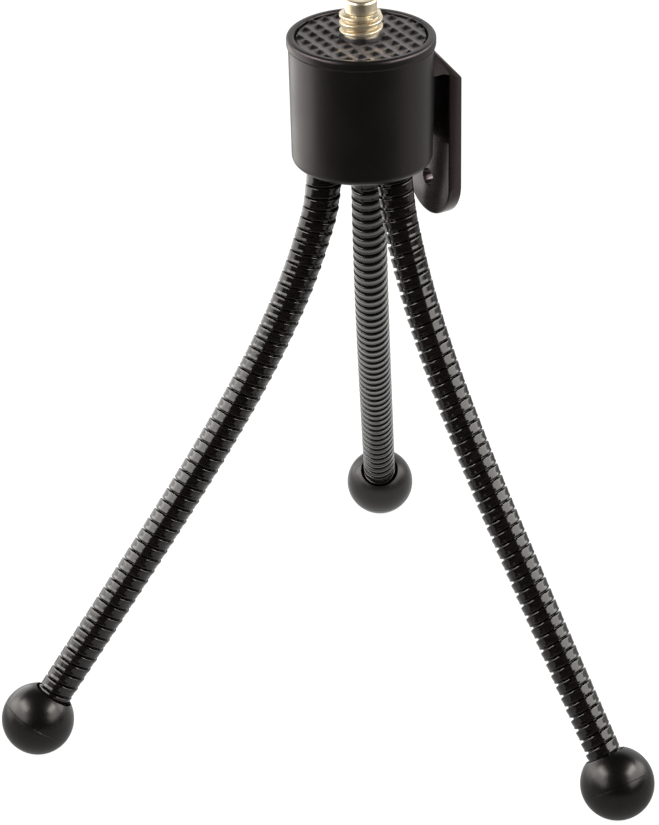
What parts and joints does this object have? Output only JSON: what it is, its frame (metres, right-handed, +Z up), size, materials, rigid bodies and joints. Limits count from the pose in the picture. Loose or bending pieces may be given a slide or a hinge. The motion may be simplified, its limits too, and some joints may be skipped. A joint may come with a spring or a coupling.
{
  "type": "flexible leg tripod",
  "caption": "Small table tripod: round camera head with a threaded stud on a rubber pad, a side plate with a lanyard hole, and bendable wound-wire legs that end in ball feet.",
  "frame": {"origin": "centre of the camera stud in the plane of the pad's pyramid tips, where the camera's base sits", "axes": "+Z up along the camera stud, -X from the head towards the left leg"},
  "size_m": [0.0886, 0.1116, 0.1151],
  "materials": {
    "head_plastic": "moulded black ABS, satin gloss",
    "clip_plastic": "moulded black ABS, glossy",
    "deck_plastic": "moulded, hidden",
    "pad_rubber": "moulded rubber, matt",
    "stud_brass": "machined, pale",
    "plain_steel": "zinc plated, hidden",
    "leg_wire": "wound steel wire, black oxide",
    "ball_plastic": "moulded black plastic, semi-gloss"
  },
  "bodies": {
    "head": {"head_shell": "head_plastic", "top_pad": "pad_rubber", "deck_plate": "deck_plastic", "deck_screws": "plain_steel", "camera_stud": "stud_brass", "clamp_plate": "plain_steel", "pocket_clip": "clip_plastic", "rear_leg_ferrule": "plain_steel", "rear_leg_root": "leg_wire", "left_leg_ferrule": "plain_steel", "left_leg_root": "leg_wire", "right_leg_ferrule": "plain_steel", "right_leg_root": "leg_wire"},
    "rear_leg_1": {"rear_leg_link_1": "leg_wire"},
    "rear_leg_2": {"rear_leg_link_2": "leg_wire"},
    "rear_leg_3": {"rear_leg_link_3": "leg_wire"},
    "rear_leg_4": {"rear_leg_link_4": "leg_wire"},
    "rear_leg_5": {"rear_leg_link_5": "leg_wire"},
    "rear_leg_6": {"rear_leg_link_6": "leg_wire"},
    "rear_leg_7": {"rear_leg_link_7": "leg_wire"},
    "rear_leg_8": {"rear_leg_link_8": "leg_wire"},
    "rear_leg_9": {"rear_leg_link_9": "leg_wire"},
    "rear_leg_10": {"rear_leg_link_10": "leg_wire"},
    "rear_leg_11": {"rear_leg_link_11": "leg_wire"},
    "rear_leg_12": {"rear_leg_link_12": "leg_wire", "rear_ball_foot": "ball_plastic"},
    "left_leg_1": {"left_leg_link_1": "leg_wire"},
    "left_leg_2": {"left_leg_link_2": "leg_wire"},
    "left_leg_3": {"left_leg_link_3": "leg_wire"},
    "left_leg_4": {"left_leg_link_4": "leg_wire"},
    "left_leg_5": {"left_leg_link_5": "leg_wire"},
    "left_leg_6": {"left_leg_link_6": "leg_wire"},
    "left_leg_7": {"left_leg_link_7": "leg_wire"},
    "left_leg_8": {"left_leg_link_8": "leg_wire"},
    "left_leg_9": {"left_leg_link_9": "leg_wire"},
    "left_leg_10": {"left_leg_link_10": "leg_wire"},
    "left_leg_11": {"left_leg_link_11": "leg_wire"},
    "left_leg_12": {"left_leg_link_12": "leg_wire", "left_ball_foot": "ball_plastic"},
    "right_leg_1": {"right_leg_link_1": "leg_wire"},
    "right_leg_2": {"right_leg_link_2": "leg_wire"},
    "right_leg_3": {"right_leg_link_3": "leg_wire"},
    "right_leg_4": {"right_leg_link_4": "leg_wire"},
    "right_leg_5": {"right_leg_link_5": "leg_wire"},
    "right_leg_6": {"right_leg_link_6": "leg_wire"},
    "right_leg_7": {"right_leg_link_7": "leg_wire"},
    "right_leg_8": {"right_leg_link_8": "leg_wire"},
    "right_leg_9": {"right_leg_link_9": "leg_wire"},
    "right_leg_10": {"right_leg_link_10": "leg_wire"},
    "right_leg_11": {"right_leg_link_11": "leg_wire"},
    "right_leg_12": {"right_leg_link_12": "leg_wire", "right_ball_foot": "ball_plastic"}
  },
  "joints": [
    {"name": "rear_leg_upper_spread", "type": "hinge", "parent": "head", "child": "rear_leg_1", "pos_m": [0.00324, 0.00561, -0.02516], "axis": [0.9135, -0.4067, 0], "range_deg": [-16, 16]},
    {"name": "rear_leg_upper_swing", "type": "hinge", "parent": "rear_leg_1", "child": "rear_leg_2", "pos_m": [0.00405, 0.00743, -0.03225], "axis": [0.3787, 0.8506, 0.3648], "range_deg": [-16, 16]},
    {"name": "rear_leg_upper_spread_2", "type": "hinge", "parent": "rear_leg_2", "child": "rear_leg_3", "pos_m": [0.00514, 0.00989, -0.03911], "axis": [0.9135, -0.4067, 0], "range_deg": [-16, 16]},
    {"name": "rear_leg_upper_swing_2", "type": "hinge", "parent": "rear_leg_3", "child": "rear_leg_4", "pos_m": [0.00645, 0.01282, -0.04574], "axis": [0.3549, 0.7971, 0.4886], "range_deg": [-16, 16]},
    {"name": "rear_leg_upper_spread_3", "type": "hinge", "parent": "rear_leg_4", "child": "rear_leg_5", "pos_m": [0.00791, 0.01611, -0.05217], "axis": [0.9135, -0.4067, 0], "range_deg": [-16, 16]},
    {"name": "rear_leg_upper_swing_3", "type": "hinge", "parent": "rear_leg_5", "child": "rear_leg_6", "pos_m": [0.00949, 0.01966, -0.05843], "axis": [0.3388, 0.7609, 0.5534], "range_deg": [-16, 16]},
    {"name": "rear_leg_lower_spread", "type": "hinge", "parent": "rear_leg_6", "child": "rear_leg_7", "pos_m": [0.01115, 0.02338, -0.06457], "axis": [0.9135, -0.4067, 0], "range_deg": [-16, 16]},
    {"name": "rear_leg_lower_swing", "type": "hinge", "parent": "rear_leg_7", "child": "rear_leg_8", "pos_m": [0.01286, 0.02722, -0.07061], "axis": [0.3305, 0.7424, 0.5827], "range_deg": [-16, 16]},
    {"name": "rear_leg_lower_spread_2", "type": "hinge", "parent": "rear_leg_8", "child": "rear_leg_9", "pos_m": [0.01461, 0.03115, -0.0766], "axis": [0.9135, -0.4067, 0], "range_deg": [-16, 16]},
    {"name": "rear_leg_lower_swing_2", "type": "hinge", "parent": "rear_leg_9", "child": "rear_leg_10", "pos_m": [0.01637, 0.03511, -0.08255], "axis": [0.3275, 0.7357, 0.5929], "range_deg": [-16, 16]},
    {"name": "rear_leg_lower_spread_3", "type": "hinge", "parent": "rear_leg_10", "child": "rear_leg_11", "pos_m": [0.01815, 0.0391, -0.08848], "axis": [0.9135, -0.4067, 0], "range_deg": [-16, 16]},
    {"name": "rear_leg_lower_swing_3", "type": "hinge", "parent": "rear_leg_11", "child": "rear_leg_12", "pos_m": [0.01993, 0.0431, -0.09441], "axis": [0.327, 0.7344, 0.5948], "range_deg": [-16, 16]},
    {"name": "left_leg_upper_spread", "type": "hinge", "parent": "head", "child": "left_leg_1", "pos_m": [-0.00648, 0, -0.02516], "axis": [0, 1, 0], "range_deg": [-16, 16]},
    {"name": "left_leg_upper_swing", "type": "hinge", "parent": "left_leg_1", "child": "left_leg_2", "pos_m": [-0.00847, 0, -0.03225], "axis": [-0.9311, 0, 0.3648], "range_deg": [-16, 16]},
    {"name": "left_leg_upper_spread_2", "type": "hinge", "parent": "left_leg_2", "child": "left_leg_3", "pos_m": [-0.01116, 0, -0.03911], "axis": [0, 1, 0], "range_deg": [-16, 16]},
    {"name": "left_leg_upper_swing_2", "type": "hinge", "parent": "left_leg_3", "child": "left_leg_4", "pos_m": [-0.01437, 0, -0.04574], "axis": [-0.8725, 0, 0.4886], "range_deg": [-16, 16]},
    {"name": "left_leg_upper_spread_3", "type": "hinge", "parent": "left_leg_4", "child": "left_leg_5", "pos_m": [-0.01797, 0, -0.05217], "axis": [0, 1, 0], "range_deg": [-16, 16]},
    {"name": "left_leg_upper_swing_3", "type": "hinge", "parent": "left_leg_5", "child": "left_leg_6", "pos_m": [-0.02185, 0, -0.05843], "axis": [-0.8329, 0, 0.5534], "range_deg": [-16, 16]},
    {"name": "left_leg_lower_spread", "type": "hinge", "parent": "left_leg_6", "child": "left_leg_7", "pos_m": [-0.02593, 0, -0.06457], "axis": [0, 1, 0], "range_deg": [-16, 16]},
    {"name": "left_leg_lower_swing", "type": "hinge", "parent": "left_leg_7", "child": "left_leg_8", "pos_m": [-0.03014, 0, -0.07061], "axis": [-0.8127, 0, 0.5827], "range_deg": [-16, 16]},
    {"name": "left_leg_lower_spread_2", "type": "hinge", "parent": "left_leg_8", "child": "left_leg_9", "pos_m": [-0.03443, 0, -0.0766], "axis": [0, 1, 0], "range_deg": [-16, 16]},
    {"name": "left_leg_lower_swing_2", "type": "hinge", "parent": "left_leg_9", "child": "left_leg_10", "pos_m": [-0.03877, 0, -0.08255], "axis": [-0.8053, 0, 0.5929], "range_deg": [-16, 16]},
    {"name": "left_leg_lower_spread_3", "type": "hinge", "parent": "left_leg_10", "child": "left_leg_11", "pos_m": [-0.04314, 0, -0.08848], "axis": [0, 1, 0], "range_deg": [-16, 16]},
    {"name": "left_leg_lower_swing_3", "type": "hinge", "parent": "left_leg_11", "child": "left_leg_12", "pos_m": [-0.04752, 0, -0.09441], "axis": [-0.8039, 0, 0.5948], "range_deg": [-16, 16]},
    {"name": "right_leg_upper_spread", "type": "hinge", "parent": "head", "child": "right_leg_1", "pos_m": [0.00324, -0.00561, -0.02516], "axis": [-0.9426, -0.3338, 0], "range_deg": [-16, 16]},
    {"name": "right_leg_upper_swing", "type": "hinge", "parent": "right_leg_1", "child": "right_leg_2", "pos_m": [0.00391, -0.00749, -0.03225], "axis": [0.3108, -0.8777, 0.3648], "range_deg": [-16, 16]},
    {"name": "right_leg_upper_spread_2", "type": "hinge", "parent": "right_leg_2", "child": "right_leg_3", "pos_m": [0.0048, -0.01003, -0.03911], "axis": [-0.9426, -0.3338, 0], "range_deg": [-16, 16]},
    {"name": "right_leg_upper_swing_2", "type": "hinge", "parent": "right_leg_3", "child": "right_leg_4", "pos_m": [0.00587, -0.01305, -0.04574], "axis": [0.2913, -0.8225, 0.4886], "range_deg": [-16, 16]},
    {"name": "right_leg_upper_spread_3", "type": "hinge", "parent": "right_leg_4", "child": "right_leg_5", "pos_m": [0.00708, -0.01645, -0.05217], "axis": [-0.9426, -0.3338, 0], "range_deg": [-16, 16]},
    {"name": "right_leg_upper_swing_3", "type": "hinge", "parent": "right_leg_5", "child": "right_leg_6", "pos_m": [0.00837, -0.0201, -0.05843], "axis": [0.278, -0.7852, 0.5534], "range_deg": [-16, 16]},
    {"name": "right_leg_lower_spread", "type": "hinge", "parent": "right_leg_6", "child": "right_leg_7", "pos_m": [0.00973, -0.02395, -0.06457], "axis": [-0.9426, -0.3338, 0], "range_deg": [-16, 16]},
    {"name": "right_leg_lower_swing", "type": "hinge", "parent": "right_leg_7", "child": "right_leg_8", "pos_m": [0.01114, -0.02791, -0.07061], "axis": [0.2713, -0.766, 0.5827], "range_deg": [-16, 16]},
    {"name": "right_leg_lower_spread_2", "type": "hinge", "parent": "right_leg_8", "child": "right_leg_9", "pos_m": [0.01257, -0.03196, -0.0766], "axis": [-0.9426, -0.3338, 0], "range_deg": [-16, 16]},
    {"name": "right_leg_lower_swing_2", "type": "hinge", "parent": "right_leg_9", "child": "right_leg_10", "pos_m": [0.01402, -0.03605, -0.08255], "axis": [0.2688, -0.7591, 0.5929], "range_deg": [-16, 16]},
    {"name": "right_leg_lower_spread_3", "type": "hinge", "parent": "right_leg_10", "child": "right_leg_11", "pos_m": [0.01548, -0.04017, -0.08848], "axis": [-0.9426, -0.3338, 0], "range_deg": [-16, 16]},
    {"name": "right_leg_lower_swing_3", "type": "hinge", "parent": "right_leg_11", "child": "right_leg_12", "pos_m": [0.01694, -0.0443, -0.09441], "axis": [0.2683, -0.7578, 0.5948], "range_deg": [-16, 16]}
  ],
  "couplings": [
    {"joint": "rear_leg_upper_spread_2", "follows": "rear_leg_upper_spread", "ratio": 1},
    {"joint": "rear_leg_upper_swing_2", "follows": "rear_leg_upper_swing", "ratio": 1},
    {"joint": "rear_leg_upper_spread_3", "follows": "rear_leg_upper_spread", "ratio": 1},
    {"joint": "rear_leg_upper_swing_3", "follows": "rear_leg_upper_swing", "ratio": 1},
    {"joint": "rear_leg_lower_spread_2", "follows": "rear_leg_lower_spread", "ratio": 1},
    {"joint": "rear_leg_lower_swing_2", "follows": "rear_leg_lower_swing", "ratio": 1},
    {"joint": "rear_leg_lower_spread_3", "follows": "rear_leg_lower_spread", "ratio": 1},
    {"joint": "rear_leg_lower_swing_3", "follows": "rear_leg_lower_swing", "ratio": 1},
    {"joint": "left_leg_upper_spread_2", "follows": "left_leg_upper_spread", "ratio": 1},
    {"joint": "left_leg_upper_swing_2", "follows": "left_leg_upper_swing", "ratio": 1},
    {"joint": "left_leg_upper_spread_3", "follows": "left_leg_upper_spread", "ratio": 1},
    {"joint": "left_leg_upper_swing_3", "follows": "left_leg_upper_swing", "ratio": 1},
    {"joint": "left_leg_lower_spread_2", "follows": "left_leg_lower_spread", "ratio": 1},
    {"joint": "left_leg_lower_swing_2", "follows": "left_leg_lower_swing", "ratio": 1},
    {"joint": "left_leg_lower_spread_3", "follows": "left_leg_lower_spread", "ratio": 1},
    {"joint": "left_leg_lower_swing_3", "follows": "left_leg_lower_swing", "ratio": 1},
    {"joint": "right_leg_upper_spread_2", "follows": "right_leg_upper_spread", "ratio": 1},
    {"joint": "right_leg_upper_swing_2", "follows": "right_leg_upper_swing", "ratio": 1},
    {"joint": "right_leg_upper_spread_3", "follows": "right_leg_upper_spread", "ratio": 1},
    {"joint": "right_leg_upper_swing_3", "follows": "right_leg_upper_swing", "ratio": 1},
    {"joint": "right_leg_lower_spread_2", "follows": "right_leg_lower_spread", "ratio": 1},
    {"joint": "right_leg_lower_swing_2", "follows": "right_leg_lower_swing", "ratio": 1},
    {"joint": "right_leg_lower_spread_3", "follows": "right_leg_lower_spread", "ratio": 1},
    {"joint": "right_leg_lower_swing_3", "follows": "right_leg_lower_swing", "ratio": 1}
  ]
}
